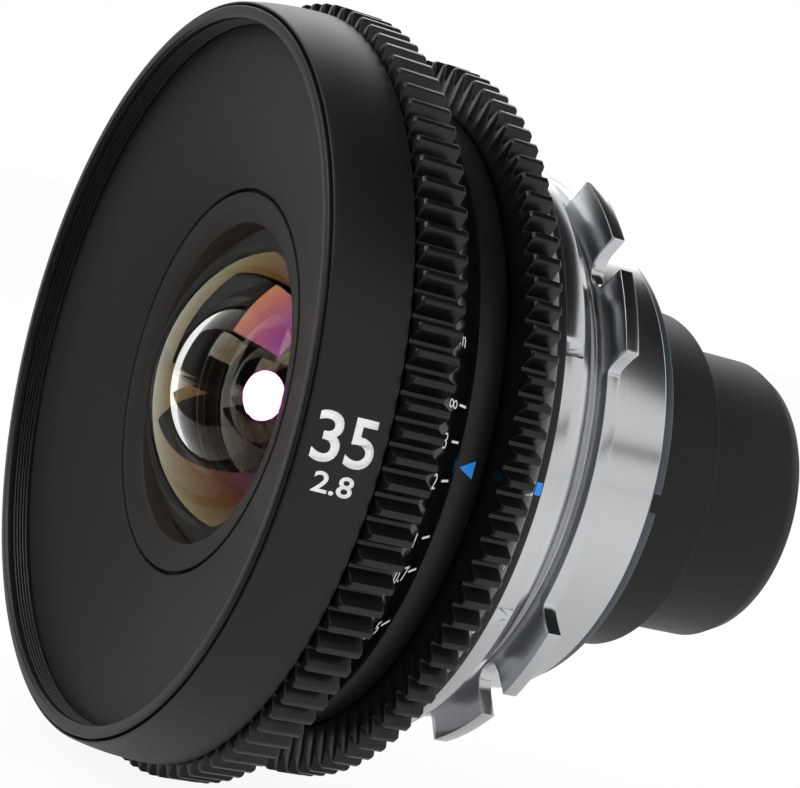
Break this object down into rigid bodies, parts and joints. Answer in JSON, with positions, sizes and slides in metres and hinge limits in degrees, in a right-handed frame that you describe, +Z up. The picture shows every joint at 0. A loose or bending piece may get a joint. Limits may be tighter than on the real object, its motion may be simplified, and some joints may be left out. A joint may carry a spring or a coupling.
{
  "type": "cinema prime lens",
  "caption": "Wide-angle cinema prime lens with geared focus and iris rings, a moving focus group, a working iris and a four-tab breech-lock mount.",
  "frame": {"origin": "on the optical axis, in the plane of the mount's rear seat", "axes": "+Y along the optical axis towards the camera, -Y towards the subject, +X towards the index marks, +Z up"},
  "size_m": [0.0848, 0.0757, 0.0848],
  "materials": {
    "satin_black_metal": "black anodised aluminium, satin",
    "matte_black_metal": "black anodised aluminium, matte",
    "gloss_black_metal": "black anodised aluminium, glossy",
    "plated_steel": "turned and plated, bright satin",
    "bare_steel": "bare steel",
    "blade_steel": "blackened spring steel",
    "brass": "turned brass, greased",
    "coated_glass": "polished, anti-reflection coated"
  },
  "bodies": {
    "barrel": {"flange_shim": "bare_steel", "focus_index_ring": "satin_black_metal", "front_cell": "satin_black_metal", "front_element": "coated_glass", "front_plate": "matte_black_metal", "front_retaining_ring": "matte_black_metal", "front_rim_ring": "satin_black_metal", "front_shell": "satin_black_metal", "iris_housing": "satin_black_metal", "iris_index_ring": "satin_black_metal", "iris_keeper_ring": "satin_black_metal", "lens_mount": "plated_steel", "main_barrel": "satin_black_metal", "middle_cell": "satin_black_metal", "middle_element": "coated_glass", "middle_front_element": "coated_glass", "middle_front_spacer": "satin_black_metal", "middle_rear_element": "coated_glass", "middle_rear_spacer": "satin_black_metal", "middle_retaining_ring": "satin_black_metal", "mount_dowel": "bare_steel", "mount_lock_ring": "matte_black_metal", "rear_barrel": "matte_black_metal", "rear_element": "coated_glass", "rear_first_spacer": "satin_black_metal", "rear_group_first_element": "coated_glass", "rear_group_second_element": "coated_glass", "rear_group_third_element": "coated_glass", "rear_lens_tube": "satin_black_metal", "rear_retaining_ring": "satin_black_metal", "rear_second_spacer": "satin_black_metal", "rear_third_spacer": "satin_black_metal", "second_element": "coated_glass", "second_retaining_ring": "satin_black_metal"},
    "focus_ring": {"focus_gear_ring": "satin_black_metal", "focus_scale_band": "gloss_black_metal", "focus_cam_sleeve": "brass", "focus_band_screws": "bare_steel"},
    "focus_group": {"focus_cell": "satin_black_metal", "follower_pins": "bare_steel", "focus_front_element": "coated_glass", "focus_rear_element": "coated_glass", "focus_spacer": "satin_black_metal", "focus_retaining_ring": "satin_black_metal"},
    "iris_ring": {"iris_gear_ring": "satin_black_metal", "iris_scale_band": "gloss_black_metal", "iris_drive_pin": "bare_steel", "iris_actuator_ring": "satin_black_metal"},
    "iris_blade_1": {"iris_blade_1": "blade_steel"},
    "iris_blade_2": {"iris_blade_2": "blade_steel"},
    "iris_blade_3": {"iris_blade_3": "blade_steel"},
    "iris_blade_4": {"iris_blade_4": "blade_steel"},
    "iris_blade_5": {"iris_blade_5": "blade_steel"}
  },
  "joints": [
    {"name": "focus_turn", "type": "hinge", "parent": "barrel", "child": "focus_ring", "pos_m": [0, 0, 0], "axis": [0, 1, 0], "range_deg": [-26.6, 9.2]},
    {"name": "focus_slide", "type": "slide", "parent": "barrel", "child": "focus_group", "axis": [0, 1, 0], "range_m": [-0.00089, 0.00031]},
    {"name": "iris_turn", "type": "hinge", "parent": "barrel", "child": "iris_ring", "pos_m": [0, 0, 0], "axis": [0, 1, 0], "range_deg": [-60, 0]},
    {"name": "iris_blade_1_swing", "type": "hinge", "parent": "barrel", "child": "iris_blade_1", "pos_m": [0.0152, -0.0128, 0], "axis": [0, 1, 0], "range_deg": [-23.5, 0]},
    {"name": "iris_blade_2_swing", "type": "hinge", "parent": "barrel", "child": "iris_blade_2", "pos_m": [0.0047, -0.0128, 0.01446], "axis": [0, 1, 0], "range_deg": [-23.5, 0]},
    {"name": "iris_blade_3_swing", "type": "hinge", "parent": "barrel", "child": "iris_blade_3", "pos_m": [-0.0123, -0.0128, 0.00893], "axis": [0, 1, 0], "range_deg": [-23.5, 0]},
    {"name": "iris_blade_4_swing", "type": "hinge", "parent": "barrel", "child": "iris_blade_4", "pos_m": [-0.0123, -0.0128, -0.00893], "axis": [0, 1, 0], "range_deg": [-23.5, 0]},
    {"name": "iris_blade_5_swing", "type": "hinge", "parent": "barrel", "child": "iris_blade_5", "pos_m": [0.0047, -0.0128, -0.01446], "axis": [0, 1, 0], "range_deg": [-23.5, 0]}
  ],
  "couplings": [
    {"joint": "focus_slide", "follows": "focus_turn", "m_per_rad": 0.0019205},
    {"joint": "iris_blade_1_swing", "follows": "iris_turn", "ratio": 0.39167},
    {"joint": "iris_blade_2_swing", "follows": "iris_turn", "ratio": 0.39167},
    {"joint": "iris_blade_3_swing", "follows": "iris_turn", "ratio": 0.39167},
    {"joint": "iris_blade_4_swing", "follows": "iris_turn", "ratio": 0.39167},
    {"joint": "iris_blade_5_swing", "follows": "iris_turn", "ratio": 0.39167}
  ]
}
